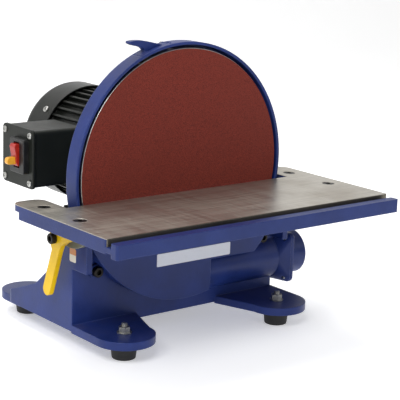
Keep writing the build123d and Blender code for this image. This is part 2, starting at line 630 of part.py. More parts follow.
parts["fan_cover"] = fan_cover()
lug_x = (BELL_RADIUS - 3, FAN_COVER_RADIUS - COVER_SHEET - 0.05)
bell = parts["rear_bell"]
for angle in FAN_SCREW_ANGLES:
    lug = block(*lug_x, FAN_SCREW_Y - 6, FAN_SCREW_Y + 3, -6, 6)
    lug = lug & rod_y(lug_x[1], FAN_SCREW_Y - 8, FAN_SCREW_Y + 8)
    hole = rod_x(FAN_SCREW + THREAD, lug_x[0] - 9, lug_x[1] + 1, FAN_SCREW_Y, 0)
    bell = bell + Rot(0, -angle, 0) * lug - Rot(0, -angle, 0) * hole
parts["rear_bell"] = bell
fan_screw = pan_screw(FAN_SCREW, 10, 4.4, 2.6)
parts["fan_cover_screws"] = group(
    Rot(0, -angle, 0) * facing_right(FAN_COVER_RADIUS, FAN_SCREW_Y, 0) * fan_screw
    for angle in FAN_SCREW_ANGLES)
motor_bolt = hex_screw(MOTOR_BOLT, MOTOR_FOOT_THICKNESS + 1.6 + 7, 16.0, 6.4)
bolt_z = motor_sole + MOTOR_FOOT_THICKNESS
parts["motor_bolts"] = group(Pos(x, y, bolt_z + 1.6) * motor_bolt for x, y in motor_bolt_places)
bolt_washer = rod_z(9.5, 0, 1.6) - rod_z(MOTOR_BOLT + HOLE, -1, 3)
parts["motor_washers"] = group(Pos(x, y, bolt_z) * bolt_washer for x, y in motor_bolt_places)

# ----------------------------------------------------------------------- switch box
BOX_FACE = -155.0                           # outside of the cover
BOX_WALL = 3.0
COVER_LIP = 1.5                             # cover wider than the box
COVER_DEPTH = 4.0
BOX_SCREW = 2.0
box_x = (BOX_FACE + COVER_DEPTH, -PAD_FACE)
box_screw_places = [(box_y + i * 29.5, box_z + j * 30.0) for i in (-1, 1) for j in (-1, 1)]
GLAND_RADIUS = 8.0
GLAND_Z = box_z - 14
BEZEL_Y = (114.0, 147.0)
BEZEL_Z = (-11.0, 33.0)
BEZEL_DEPTH = 8.0
PADDLE = 12.0                               # red paddle along Y
KEY = 7.0                                   # safety key along Y
PADDLE_PIN = 1.5
bezel_y = (BEZEL_Y[0] + BEZEL_Y[1]) / 2
bezel_face = BOX_FACE - BEZEL_DEPTH
paddle_y = (bezel_y - PADDLE / 2, bezel_y + PADDLE / 2)
PADDLE_AXIS = (BOX_FACE - 2.0, 14.0)        # rocker's pivot, as X and Z


def switch_box():
    """The deep box on the motor's terminal pad, open to the left under its cover."""
    box = block(*box_x, *BOX_Y, *BOX_Z)
    box = fillet(box.edges().filter_by(Axis.X), 5)
    hollow = block(box_x[0] - 1, box_x[1] - BOX_WALL, BOX_Y[0] + BOX_WALL, BOX_Y[1] - BOX_WALL,
                   BOX_Z[0] + BOX_WALL, BOX_Z[1] - BOX_WALL)
    box = box - fillet(hollow.edges().filter_by(Axis.X), 3)
    for y, z in box_screw_places:
        box = box + rod_x(4.2, *box_x, y, z)
    for y, z in box_screw_places:
        box = box - rod_x(BOX_SCREW + THREAD, box_x[0] - 1, box_x[0] + 12, y, z)
    for y, z in pad_screw_places:
        box = box - rod_x(PAD_SCREW + HOLE, box_x[1] - 10, box_x[1] + 1, y, z)
    box = box - rod_x(9.0, box_x[1] - 10, box_x[1] + 1, box_y, box_z)
    return box - rod_y(GLAND_RADIUS + THREAD, BOX_Y[1] - 9, BOX_Y[1] + 1, -118, GLAND_Z)


def switch_cover():
    """The cover plate, with a lip all round and the opening for the switch."""
    cover = block(BOX_FACE, BOX_FACE + COVER_DEPTH, BOX_Y[0] - COVER_LIP, BOX_Y[1] + COVER_LIP,
                  BOX_Z[0] - COVER_LIP, BOX_Z[1] + COVER_LIP)
    cover = fillet(cover.edges().filter_by(Axis.X), 6)
    cover = fillet(cover.edges().group_by(Axis.X)[0], 1.2)
    cover = cover - block(BOX_FACE - 1, BOX_FACE + 9, BEZEL_Y[0] + 4, BEZEL_Y[1] - 4,
                          BEZEL_Z[0] + 4, BEZEL_Z[1] - 4)
    for y, z in box_screw_places:
        cover = cover - rod_x(BOX_SCREW + HOLE, BOX_FACE - 1, BOX_FACE + 9, y, z)
    return cover


def switch_bezel():
    """The switch's frame and body, with a well that the paddle rocks in."""
    frame = block(bezel_face, BOX_FACE, *BEZEL_Y, *BEZEL_Z)
    frame = fillet(frame.edges().filter_by(Axis.X), 3)
    frame = fillet(frame.edges().group_by(Axis.X)[0], 1.2)
    body = block(BOX_FACE - 1, BOX_FACE + 30, BEZEL_Y[0] + 4.3, BEZEL_Y[1] - 4.3,
                 BEZEL_Z[0] + 4.3, BEZEL_Z[1] - 4.3)
    well = block(bezel_face - 1, BOX_FACE + 9, paddle_y[0] - 0.5, paddle_y[1] + 0.5,
                 BEZEL_Z[0] + 7, BEZEL_Z[1] - 4.5)
    frame = (frame + body) - well
    return frame - rod_y(PADDLE_PIN + THREAD, BEZEL_Y[0] + 1, BEZEL_Y[1] - 1,
                         PADDLE_AXIS[0], PADDLE_AXIS[1])


KEY_Z = (1.0, 10.0)
paddle_nose = bezel_face - 6.5
key_y = (bezel_y - KEY / 2, bezel_y + KEY / 2)
parts["switch_box"] = switch_box()
parts["switch_cover"] = switch_cover()
box_screw = pan_screw(BOX_SCREW, COVER_DEPTH + 8, 4.2, 2.4)
parts["switch_cover_screws"] = group(facing_left(BOX_FACE, y, z) * box_screw
                                     for y, z in box_screw_places)
pad_screw = pan_screw(PAD_SCREW, BOX_WALL + 6, 3.8, 2.4)
parts["switch_box_screws"] = group(facing_left(-PAD_FACE - BOX_WALL, y, z) * pad_screw
                                   for y, z in pad_screw_places)
parts["switch_bezel"] = switch_bezel()
rocker = front_plate([(PADDLE_AXIS[0] + 3, -0.5), (bezel_face - 1.5, -1.5), (bezel_face - 4, 4),
                      (bezel_face - 4, 12), (paddle_nose, 23.5), (bezel_face - 4.5, 26.5),
                      (PADDLE_AXIS[0] + 3, 26)], *paddle_y)
rocker = fillet(rocker.edges().filter_by(Axis.Y).sort_by(Axis.X)[:4], 1.2)
rocker = rocker - block(paddle_nose - 5, PADDLE_AXIS[0] - 1.5 - PADDLE_PIN - 0.2,
                        key_y[0] - SLIDE, key_y[1] + SLIDE, KEY_Z[0] - SLIDE, KEY_Z[1] + SLIDE)
parts["switch_paddle"] = rocker - rod_y(PADDLE_PIN + RUNNING, BEZEL_Y[0], BEZEL_Y[1],
                                        PADDLE_AXIS[0], PADDLE_AXIS[1])
parts["paddle_pin"] = rod_y(PADDLE_PIN, BEZEL_Y[0] + 1.2, BEZEL_Y[1] - 1.2,
                            PADDLE_AXIS[0], PADDLE_AXIS[1])
key = block(bezel_face - 15, PADDLE_AXIS[0] - 4, *key_y, *KEY_Z)
parts["switch_key"] = fillet(key.edges().filter_by(Axis.Y).sort_by(Axis.X)[:2], 3.5)
gland = rod_y(GLAND_RADIUS, BOX_Y[1] - BOX_WALL - 6, BOX_Y[1] + 2)
gland = gland + Pos(0, BOX_Y[1], 0) * Rot(-90, 0, 0) * hexagon(22.0, 7)
gland = gland + rod_y(9.5, BOX_Y[1] + 7, BOX_Y[1] + 17)
gland = fillet(gland.edges().sort_by(Axis.Y)[-1], 3)
parts["cable_gland"] = Pos(-118, 0, GLAND_Z) * (gland - rod_y(4.5, BOX_Y[0], BOX_Y[1] + 30))

# ---------------------------------------------------------------------------- table
TABLE_CORNERS = (14.0, 9.0)                    # of the top and of the skirt under it
SKIRT_REAR = 42.0                           # rear face of the skirt below each ear
SKIRT_WALL = 6.0
RAIL_FRONT = 165.0                          # front face of the gauge rail
RAIL_THICKNESS = 13.0
RAIL_DROP = 3.0                             # rail below the table top
RAIL_HEIGHT = 16.5
GROOVE_DROP = 9.0                           # floor of the gauge groove
TABLE_SCREW = 4.0
TABLE_SCREW_X = 194.5
TABLE_SCREW_Y = (15.5, -60.5)
ear_inner = guard_out + NOTCH_GAP
table_screw_places = [(side * TABLE_SCREW_X, y) for side in (-1, 1) for y in TABLE_SCREW_Y]


def table_plan(z0, z1, reach, inset=0.0):
    """The table's outline with its two ears back to a reach, from z0 to z1."""
    x = half_table - inset
    front = -TABLE_FRONT + inset
    rear = reach - inset
    notch_x = ear_inner + inset
    notch_y = -TABLE_GAP - inset
    return plan_plate([(-x, front), (x, front), (x, rear), (notch_x, rear), (notch_x, notch_y),
                       (-notch_x, notch_y), (-notch_x, rear), (-x, rear)], z0, z1)


def table():
    """The cast table: ground top, skirt, undercut rear edge, groove and gauge rail."""
    top = table_plan(table_under, table_top, EAR_REACH)
    top = fillet(top.edges().filter_by(Axis.Z).group_by(Axis.Y)[-1], TABLE_CORNERS[0])
    skirt = table_plan(skirt_under, table_under + 1, SKIRT_REAR)
    skirt = fillet(skirt.edges().filter_by(Axis.Z).group_by(Axis.Y)[-1], TABLE_CORNERS[1])
    skirt = skirt - table_plan(skirt_under - 1, table_under + 2, SKIRT_REAR, SKIRT_WALL)
    # no skirt along the notch's long edge, where the table swings past the cover
    skirt = skirt - block(-ear_inner - SKIRT_WALL, ear_inner + SKIRT_WALL, -TABLE_GAP - 30,
                          EAR_REACH + 1, skirt_under - 1, table_under)
    cast = top + skirt
    rail_top = table_top - RAIL_DROP
    rail = block(-half_table, half_table, -RAIL_FRONT, RAIL_THICKNESS - RAIL_FRONT,
                 rail_top - RAIL_HEIGHT, rail_top)
    floor = block(-half_table, half_table, -RAIL_FRONT + 1, -TABLE_FRONT + 1,
                  table_top - GROOVE_DROP - 6, table_top - GROOVE_DROP)
    cast = cast + (rail + floor)
    # the edge beside the disc is undercut so that the table can tilt
    reach = 2 * TABLE_THICKNESS
    undercut = side_plate([(-TABLE_GAP + 1, table_top - 2), (-TABLE_GAP + 1, table_under - 1),
                           (-TABLE_GAP - reach, table_under - 1),
                           (-TABLE_GAP, table_top - 2)], -ear_inner - 1, ear_inner + 1)
    cast = cast - undercut
    outer_edges = cast.edges().filter_by(Axis.Z).filter_by(
        lambda e: abs(abs(e.center().X) - half_table) < 0.1 and e.center().Y < -100)
    cast = fillet(outer_edges, 3)
    for x, y in table_screw_places:
        sink = Pos(x, y, table_top - 2.5) * Cone(TABLE_SCREW + HOLE, 8.4, 5.001)
        cast = cast - rod_z(TABLE_SCREW + HOLE, table_under - 1, table_top, x, y) - sink
    return cast


parts["table"] = table()
table_screw = Pos(0, 0, -2.5) * Cone(TABLE_SCREW, 8.0, 5) + rod_z(TABLE_SCREW, -15, -4)
table_screw = table_screw - Pos(0, 0, -2.8) * hexagon(5.0, 4)
parts["table_screws"] = group(Pos(x, y, table_top - 0.3) * table_screw
                              for x, y in table_screw_places)

# ----------------------------------------------------------------- trunnions and pins
FLANGE_THICKNESS = 8.0
FLANGE_Y = (-78.0, 34.0)
FLANGE_OUTER = 206.0
SLOT_HALF = PIN_RADIUS + SLIDE + 0.1
SLOT_MARGIN = 2.0                           # degrees past the pins' last places
slot_from = GUIDE_ANGLES[0] + TILT_UP + SLOT_MARGIN
slot_to = GUIDE_ANGLES[1] - TILT_DOWN - SLOT_MARGIN


def trunnion(side):
    """The half-round bracket under one end of the table, with its curved slot."""
    thick_x = sorted((side * trunnion_in, side * trunnion_out))
    cheek = rod_x(TRUNNION_RADIUS, *thick_x, 0, table_top)
    cheek = cheek - block(-300, 300, -100, 100, table_under, 100)
    flange_x = sorted((side * trunnion_in, side * FLANGE_OUTER))
    flange = block(*flange_x, *FLANGE_Y, table_under - FLANGE_THICKNESS, table_under)
    outer = flange.edges().filter_by(Axis.Z).sort_by(lambda e: side * e.center().X)[-2:]
    bracket = cheek + fillet(outer, 8)
    arc = CenterArc((0, 0), SLOT_RADIUS, slot_to, slot_from - slot_to)
    ribbon = make_face(offset(arc, SLOT_HALF))
    sweep_x = thick_x[0] - 1
    slot = Pos(sweep_x, 0, table_top) * (Plane.YZ * ribbon)
    bracket = bracket - extrude(slot, TRUNNION_THICKNESS + 2, dir=(1, 0, 0))
    for y in TABLE_SCREW_Y:
        bracket = bracket - rod_z(TABLE_SCREW + THREAD, -60, table_under + 1,
                                  side * TABLE_SCREW_X, y)
    if side < 0:
        lock = on_trunnion(LOCK_RADIUS, LOCK_ANGLE)
        bracket = bracket - rod_x(PIN_RADIUS + THREAD, -trunnion_out - 1, 1 - trunnion_in, *lock)
    return bracket


parts["left_trunnion"] = trunnion(-1)
parts["right_trunnion"] = trunnion(1)
pin_x = (half_body - WALL, trunnion_out - SLIDE)
parts["guide_pins"] = group(rod_x(PIN_RADIUS, *ends, *on_trunnion(SLOT_RADIUS, angle))
                            for ends in ((-pin_x[1], -pin_x[0]), pin_x)
                            for angle in GUIDE_ANGLES)

# ------------------------------------------------------------------- table lock lever
LEVER_FACE = -183.0                         # outer face of the lever
LEVER_THICKNESS = 6.0
HUB_GAP = 0.5                               # hub to the trunnion, and screw to the ear
LOCK_HUB = 11.0
NOSE = (-24.0, -54.0)                       # front end of the lever's broad head
NOSE_RADIUS = 7.0
HANDLE_ROOT = (8.0, -80.0)
HANDLE_END = (27.0, -132.5)
HANDLE_RADII = (7.5, 7.8)
LOCK_HEAD = 6.5
lock_place = on_trunnion(LOCK_RADIUS, LOCK_ANGLE)
lever_x = (LEVER_FACE, LEVER_FACE + LEVER_THICKNESS)


def lever_bar(start, start_r, end, end_r):
    """A tapered bar of the lever between two round ends."""
    bar = side_plate(tangent_bar(start, start_r, end, end_r), *lever_x)
    bar = bar + rod_x(start_r, *lever_x, *start)
    return bar + rod_x(end_r, *lever_x, *end)


def lock_lever():
    """The flat cast lever: broad head, tapered handle and a hub towards the trunnion."""
    lever = lever_bar(lock_place, LOCK_HUB, NOSE, NOSE_RADIUS)
    lever = lever + lever_bar(lock_place, LOCK_HUB, HANDLE_ROOT, HANDLE_RADII[0])
    lever = lever + lever_bar(HANDLE_ROOT, HANDLE_RADII[0], HANDLE_END, HANDLE_RADII[1])
    inner_corner = side_plate([NOSE, lock_place, (HANDLE_ROOT[0] + 2, HANDLE_ROOT[1] - 6),
                               (HANDLE_ROOT[0] - 6, HANDLE_ROOT[1] - 4),
                               (HANDLE_ROOT[0] - 12, HANDLE_ROOT[1] + 8),
                               (NOSE[0] + 2, NOSE[1] - NOSE_RADIUS)], *lever_x)
    lever = lever + inner_corner
    lever = lever + rod_x(LOCK_HUB, lever_x[1] - 1, -trunnion_out - HUB_GAP, *lock_place)
    return lever - rod_x(PIN_RADIUS + THREAD, -200, -100, *lock_place)


parts["lock_lever"] = lock_lever()
lock_screw = socket_screw(PIN_RADIUS, -LEVER_FACE - half_body - HUB_GAP, LOCK_HEAD, LOCK_HEAD)
parts["lock_screw"] = facing_left(LEVER_FACE, *lock_place) * lock_screw

# ------------------------------------------------------------------- disc brake lever
SHOE_GAP = 1.8                              # released shoe to the disc's rim
STRIP = 3.0
HORN_TOP = [(-46.0, 0, 160.2), (-64.0, 0, 163.2), (-78.0, 0, 162.6)]
HORN_TIP = (-80.0, 0, 160.8)
HORN_UNDER = [(-78.2, 0, 159.2), (-70.0, 0, 156.6), (-62.0, 0, 154.6)]


def on_rim(x, sink):
    """A point just inside the outside of the guard's rim."""
    return (x, 0, sqrt(guard_out ** 2 - x ** 2) - sink)


def brake_lever():
    """A curved strip that lies in the rim's slot and curls up into a thumb horn."""
    ring = rod_y(guard_out, *SHOE_Y) - rod_y(guard_out - STRIP, SHOE_Y[0] - 1, SHOE_Y[1] + 1)
    strip = ring & block(SHOE_X[0], BRAKE_PIVOT_X - 1, *BRAKE_Y, 100, 200)
    holder = ring & block(*SHOE_X, *SHOE_Y, 100, 200)
    root = on_rim(BRAKE_PIVOT_X - 8, 0.5)
    heel = on_rim(SHOE_X[1] - 2, 1.5)
    top = Spline(root, *HORN_TOP)
    tip = ThreePointArc(HORN_TOP[-1], HORN_TIP, HORN_UNDER[0])
    under = Spline(*HORN_UNDER, heel)
    inside = Line(heel, root)
    outline = make_face(Wire([top, tip, under, inside]))
    curl = Pos(0, BRAKE_Y[0], 0) * extrude(outline, BRAKE_Y[1] - BRAKE_Y[0], dir=(0, 1, 0))
    curl = curl - rod_y(guard_out - STRIP, SHOE_Y[0] - 1, SHOE_Y[1] + 1)
    lever = strip + holder + curl
    lever = lever + rod_y(BARREL, *BRAKE_Y, BRAKE_PIVOT_X, brake_pivot_z)
    return lever - rod_y(BRAKE_PIN + RUNNING, *BRAKE_Y, BRAKE_PIVOT_X, brake_pivot_z)


parts["brake_lever"] = brake_lever()
shoe = rod_y(guard_out - STRIP, *SHOE_Y) - rod_y(disc_r + SHOE_GAP, 0, 30)
parts["brake_shoe"] = shoe & block(SHOE_X[0] + 1, SHOE_X[1] - 1, SHOE_Y[0] + 1, SHOE_Y[1] - 1,
                                   100, 200)
parts["brake_pin"] = rod_y(BRAKE_PIN, BRAKE_Y[0] - BRAKE_GAP - 3, GUARD_BACK + 5,
                           BRAKE_PIVOT_X, brake_pivot_z)
SPRING_WIRE = 0.45
SPRING_TURNS = 5
coil = Rot(90, 0, 0) * Torus(BRAKE_PIN + 2 * SPRING_WIRE, SPRING_WIRE)
spring = Pos(0, 2 * SPRING_WIRE, 0) * coil
for i in range(1, SPRING_TURNS):
    spring = spring + Pos(0, (2 + 1.8 * i) * SPRING_WIRE, 0) * coil
parts["brake_spring"] = Pos(BRAKE_PIVOT_X, GUARD_BACK, brake_pivot_z) * spring

# ----------------------------------------------------------------------- side label
LABEL_Y = (-1.5, 12.0)
LABEL_Z = (-97.0, -80.0)
label = block(-half_body - 0.3, -half_body, *LABEL_Y, *LABEL_Z)
parts["side_label"] = fillet(label.edges().filter_by(Axis.X), 2)


# ------------------------------------------------- origin under the middle of the whole
boxes = [shape.bounding_box() for shape in parts.values()]
low = [min(tuple(box.min)[i] for box in boxes) for i in range(3)]
high = [max(tuple(box.max)[i] for box in boxes) for i in range(3)]
shift = (-(low[0] + high[0]) / 2, -(low[1] + high[1]) / 2, -low[2])
os.makedirs("parts", exist_ok=True)
for name, shape in parts.items():
    export_step(Pos(*shift) * shape, f"parts/{name}.step")
print("size", [round(b - a, 3) for a, b in zip(low, high)])
print("shift", [round(value, 4) for value in shift])
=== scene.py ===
"""Finishes and fine shapes of a twelve inch bench disc sander.

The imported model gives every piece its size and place.  The sections follow the
machine as it is put together: base, feet, guard and cover, disc, motor, switch,
table with its brackets, lock lever, disc brake and labels.  Lengths are metres.
"""
import json
from math import cos, radians, sin

import bmesh
import bpy
import numpy as np
from mathutils import Matrix, Vector


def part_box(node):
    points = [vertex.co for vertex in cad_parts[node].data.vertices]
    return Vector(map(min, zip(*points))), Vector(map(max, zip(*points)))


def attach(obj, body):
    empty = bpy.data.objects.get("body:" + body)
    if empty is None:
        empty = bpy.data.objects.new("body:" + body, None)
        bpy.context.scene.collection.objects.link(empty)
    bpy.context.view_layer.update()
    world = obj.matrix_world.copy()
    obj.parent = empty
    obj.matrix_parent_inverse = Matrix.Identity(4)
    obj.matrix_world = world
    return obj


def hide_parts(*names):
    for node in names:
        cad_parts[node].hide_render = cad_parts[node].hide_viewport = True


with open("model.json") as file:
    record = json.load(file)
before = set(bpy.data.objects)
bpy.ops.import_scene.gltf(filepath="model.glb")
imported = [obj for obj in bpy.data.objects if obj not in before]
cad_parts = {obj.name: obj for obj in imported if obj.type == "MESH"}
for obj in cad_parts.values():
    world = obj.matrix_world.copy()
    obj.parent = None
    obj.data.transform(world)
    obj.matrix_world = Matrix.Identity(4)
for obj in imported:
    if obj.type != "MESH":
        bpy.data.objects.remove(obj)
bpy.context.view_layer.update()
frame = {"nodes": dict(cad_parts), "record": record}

# ---------------------------------------------------------------- base casting
# The hollow body, its four splayed feet, the ears and the rear half of the dust
# duct are one grey iron sand casting.  Every edge is rolled over in the mould,
# and thick blue enamel is sprayed over the slightly pebbled skin.
body_of = {name: body for body, names in frame["record"]["behaviour"]["bodies"].items()
           for name in names}


def srgb(red, green, blue):
    """A colour given in 0 to 255 display steps, made linear: ((c + 0.055) / 1.055) ** 2.4."""
    steps = np.array([red, green, blue]) / 255
    linear = np.where(steps < 0.04045, steps / 12.92, ((steps + 0.055) / 1.055) ** 2.4)
    return (*linear.tolist(), 1.0)


def add(tree, kind, inputs=(), **settings):
    """Adds one shader node; inputs are values or sockets by the name of their socket."""
    made = tree.nodes.new("ShaderNode" + kind)
    for name, value in settings.items():
        setattr(made, name, value)
    for name, value in dict(inputs).items():
        if isinstance(value, bpy.types.NodeSocket):
            tree.links.new(value, made.inputs[name])
        else:
            made.inputs[name].default_value = value
    return made


def math(tree, operation, first, second=0.0, clamp=False):
    """One sum of two values or sockets."""
    return add(tree, "Math", {0: first, 1: second}, operation=operation,
               use_clamp=clamp).outputs[0]


def blend(tree, amount, first, second):
    """Mixes two colours by a value from 0 to 1."""
    mix = add(tree, "Mix", data_type="RGBA")
    for socket, value in ((mix.inputs[0], amount), (mix.inputs[6], first), (mix.inputs[7], second)):
        if isinstance(value, bpy.types.NodeSocket):
            tree.links.new(value, socket)
        else:
            socket.default_value = value
    return mix.outputs[2]


def ramp(tree, value, low, high, to_low=0.0, to_high=1.0):
    """Carries low...high over to to_low...to_high, smoothly and clamped."""
    return add(tree, "MapRange", {"Value": value, "From Min": low, "From Max": high,
                                  "To Min": to_low, "To Max": to_high},
               interpolation_type="SMOOTHSTEP").outputs[0]


def effect(name, inputs, outputs):
    """Starts a shader group: returns its tree, its input sockets and its output sockets."""
    tree = bpy.data.node_groups.new(name, "ShaderNodeTree")
    for label, value in inputs.items():
        tree.interface.new_socket(label, in_out="INPUT",
                                  socket_type="NodeSocketFloat").default_value = value
    for label in outputs:
        kind = "NodeSocketVector" if label == "Normal" else "NodeSocketFloat"
        tree.interface.new_socket(label, in_out="OUTPUT", socket_type=kind)
    return tree, tree.nodes.new("NodeGroupInput").outputs, tree.nodes.new("NodeGroupOutput").inputs


def place(tree, group, values):
    """Puts an effect into a material with its own values and returns its outputs."""
    made = tree.nodes.new("ShaderNodeGroup")
    made.node_tree = group
    for label, value in values.items():
        made.inputs[label].default_value = value
    return made.outputs


def noise(tree, vector, scale, detail=3.0, rough=0.5):
    """Cloudy noise from 0 to 1 on a place."""
    return add(tree, "TexNoise", {"Vector": vector, "Scale": scale, "Detail": detail,
                                  "Roughness": rough}).outputs["Fac"]


# edge wear and highlight: where the surface turns within a small radius, broken up by noise, a mask
# that the materials paint in a lighter tone, partly worn paint and partly a painted highlight along
# the edges; and the same turn as a normal, which makes every sharp edge look rolled over
edge_wear_and_highlight, given, out = effect("edge wear and highlight", {"Radius": 0.002, "Breakup": 220.0, "Reach": 0.5},
                                ["Mask", "Normal"])
spot = add(edge_wear_and_highlight, "TexCoord").outputs["Object"]
rounded = add(edge_wear_and_highlight, "Bevel", {"Radius": given["Radius"]}, samples=6).outputs[0]
edge_wear_and_highlight.links.new(rounded, out["Normal"])
straight = add(edge_wear_and_highlight, "NewGeometry").outputs["Normal"]
turn = add(edge_wear_and_highlight, "VectorMath", {0: rounded, 1: straight}, operation="DOT_PRODUCT")
turn = math(edge_wear_and_highlight, "SUBTRACT", 1.0, turn.outputs["Value"])
chips = noise(edge_wear_and_highlight, spot, given["Breakup"], 5.0, 0.65)
edge = math(edge_wear_and_highlight, "ADD", math(edge_wear_and_highlight, "MULTIPLY", turn, 3.0),
            math(edge_wear_and_highlight, "SUBTRACT", chips, 1.0))
edge = math(edge_wear_and_highlight, "ADD", edge, given["Reach"])
edge_wear_and_highlight.links.new(ramp(edge_wear_and_highlight, edge, 0.35, 0.6), out["Mask"])

# cast skin: broad waves of the sand mould under the fine orange peel of the enamel
cast_skin, given, out = effect("cast skin", {"Sand": 260.0, "Peel": 900.0, "Waves": 30.0},
                               ["Height", "Cloud"])
spot = add(cast_skin, "TexCoord").outputs["Object"]
waves = noise(cast_skin, spot, given["Waves"], 2.0)
sand = noise(cast_skin, spot, given["Sand"], 4.0, 0.6)
peel = noise(cast_skin, spot, given["Peel"], 1.0)
height = math(cast_skin, "ADD", math(cast_skin, "MULTIPLY", waves, 1.2),
              math(cast_skin, "ADD", math(cast_skin, "MULTIPLY", sand, 0.55),
                   math(cast_skin, "MULTIPLY", peel, 0.15)))
cast_skin.links.new(height, out["Height"])
cast_skin.links.new(noise(cast_skin, spot, 14.0, 5.0, 0.6), out["Cloud"])

# dust: a thin film that settles on what faces up and holds in patches
settled_dust, given, out = effect("settled dust", {"Patches": 25.0, "Amount": 0.5}, ["Mask"])
spot = add(settled_dust, "TexCoord").outputs["Object"]
upward = add(settled_dust, "SeparateXYZ", {0: add(settled_dust, "NewGeometry").outputs["Normal"]})
flat = ramp(settled_dust, upward.outputs["Z"], 0.3, 1.0)
patch = ramp(settled_dust, noise(settled_dust, spot, given["Patches"], 6.0, 0.65), 0.35, 0.75)
film = math(settled_dust, "MULTIPLY", math(settled_dust, "MULTIPLY", flat, patch), given["Amount"])
settled_dust.links.new(film, out["Mask"])


def new_material(name):
    """An empty material: its tree and its Principled shader."""
    made = bpy.data.materials.new(name)
    made.use_nodes = True
    return made, made.node_tree, made.node_tree.nodes["Principled BSDF"]


def enamel(name, colour, chip_and_highlight, roughness, skin_depth, wear=0.42, dust=0.1, sand=260.0):
    """Sprayed paint on metal: clouded colour, edges in a lighter edge colour as worn paint and
    painted highlight, pebbled skin and a little dust.
    """
    made, tree, shader = new_material(name)
    skin = place(tree, cast_skin, {"Sand": sand})
    edges = place(tree, edge_wear_and_highlight, {"Reach": wear})
    film = place(tree, settled_dust, {"Amount": dust})["Mask"]
    dark = tuple(c * 0.82 for c in colour[:3]) + (1.0,)
    light = tuple(min(1.0, c * 1.12) for c in colour[:3]) + (1.0,)
    tint = blend(tree, ramp(tree, skin["Cloud"], 0.35, 0.65), dark, light)
    # the edges take the edge colour: partly worn paint, partly a painted highlight where the edges
    # catch the light
    tint = blend(tree, edges["Mask"], tint, chip_and_highlight)
    tint = blend(tree, film, tint, srgb(150, 135, 125))
    tree.links.new(tint, shader.inputs["Base Color"])
    shader.inputs["Specular IOR Level"].default_value = 0.25
    rough = ramp(tree, skin["Cloud"], 0.3, 0.7, roughness * 0.85, roughness * 1.2)
    rough = math(tree, "ADD", rough, math(tree, "MULTIPLY", film, 0.5), clamp=True)
    tree.links.new(rough, shader.inputs["Roughness"])
    bump = add(tree, "Bump", {"Strength": 0.5, "Distance": skin_depth, "Height": skin["Height"],
                              "Normal": edges["Normal"]})
    tree.links.new(bump.outputs[0], shader.inputs["Normal"])
    return made


# the blue's edge colour is the lit blue: a painted highlight along the edges as well as wear
blue_enamel = enamel("blue enamel", srgb(32, 50, 112), srgb(70, 86, 146), 0.34, 0.0005)


def stand_in(label, data, node):
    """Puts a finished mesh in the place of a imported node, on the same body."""
    piece = bpy.data.objects.new(label, data)
    bpy.context.collection.objects.link(piece)
    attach(piece, body_of[node])
    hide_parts(node)
    return piece


def softened(name, material, width, segments=3, angle=32.0):
    """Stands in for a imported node, with its sharp edges rolled over.

    The node's loose triangles are joined, flat areas become single faces, and each
    edge that turns by more than the angle gets a round of up to the given width."""
    mesh = bmesh.new()
    mesh.from_mesh(frame["nodes"][name].data)
    bmesh.ops.remove_doubles(mesh, verts=mesh.verts, dist=2e-6)
    bmesh.ops.dissolve_limit(mesh, angle_limit=radians(0.4), verts=mesh.verts, edges=mesh.edges)
    for face in mesh.faces:
        face.smooth = True
    data = bpy.data.meshes.new(name + "_finish")
    mesh.to_mesh(data)
    mesh.free()
    data.materials.append(material)
    piece = stand_in(name + "_finish", data, name)
    if width > 0:
        bevel = piece.modifiers.new("rolled edges", "BEVEL")
        bevel.width = width
        bevel.segments = segments
        bevel.limit_method = "ANGLE"
        bevel.angle_limit = radians(angle)
        bevel.loop_slide = False
        bevel.harden_normals = True
    else:
        data.set_sharp_from_angle(angle=radians(angle))
    piece.modifiers.new("level flats", "WEIGHTED_NORMAL").keep_sharp = True


softened("base_casting", blue_enamel, 0.0012)

# ------------------------------------------------------------------ rubber feet
# Four tapered feet are moulded in black rubber.  The front pair hang on steel
# studs and nuts, and the rear pair are held from below by screws.


def moulded(name, colour, roughness, grain, depth):
    """Rubber or plastic from a mould: even colour, fine grain and soft scuffs."""
    made, tree, shader = new_material(name)
    spot = add(tree, "TexCoord").outputs["Object"]
    scuff = ramp(tree, noise(tree, spot, 90.0, 6.0, 0.7), 0.45, 0.8)
    pale = tuple(min(1.0, c * 1.5 + 0.008) for c in colour[:3]) + (1.0,)
    tree.links.new(blend(tree, scuff, colour, pale), shader.inputs["Base Color"])
    tree.links.new(ramp(tree, scuff, 0.0, 1.0, roughness, min(1.0, roughness + 0.2)),
                   shader.inputs["Roughness"])
    bump = add(tree, "Bump", {"Strength": 0.4, "Distance": depth,
                              "Height": noise(tree, spot, grain, 3.0, 0.6),
                              "Normal": place(tree, edge_wear_and_highlight, {"Radius": 0.0012})["Normal"]})
    tree.links.new(bump.outputs[0], shader.inputs["Normal"])
    return made


black_rubber = moulded("black rubber", srgb(26, 26, 27), 0.62, 1200.0, 0.0002)
softened("rubber_feet", black_rubber, 0.0006)


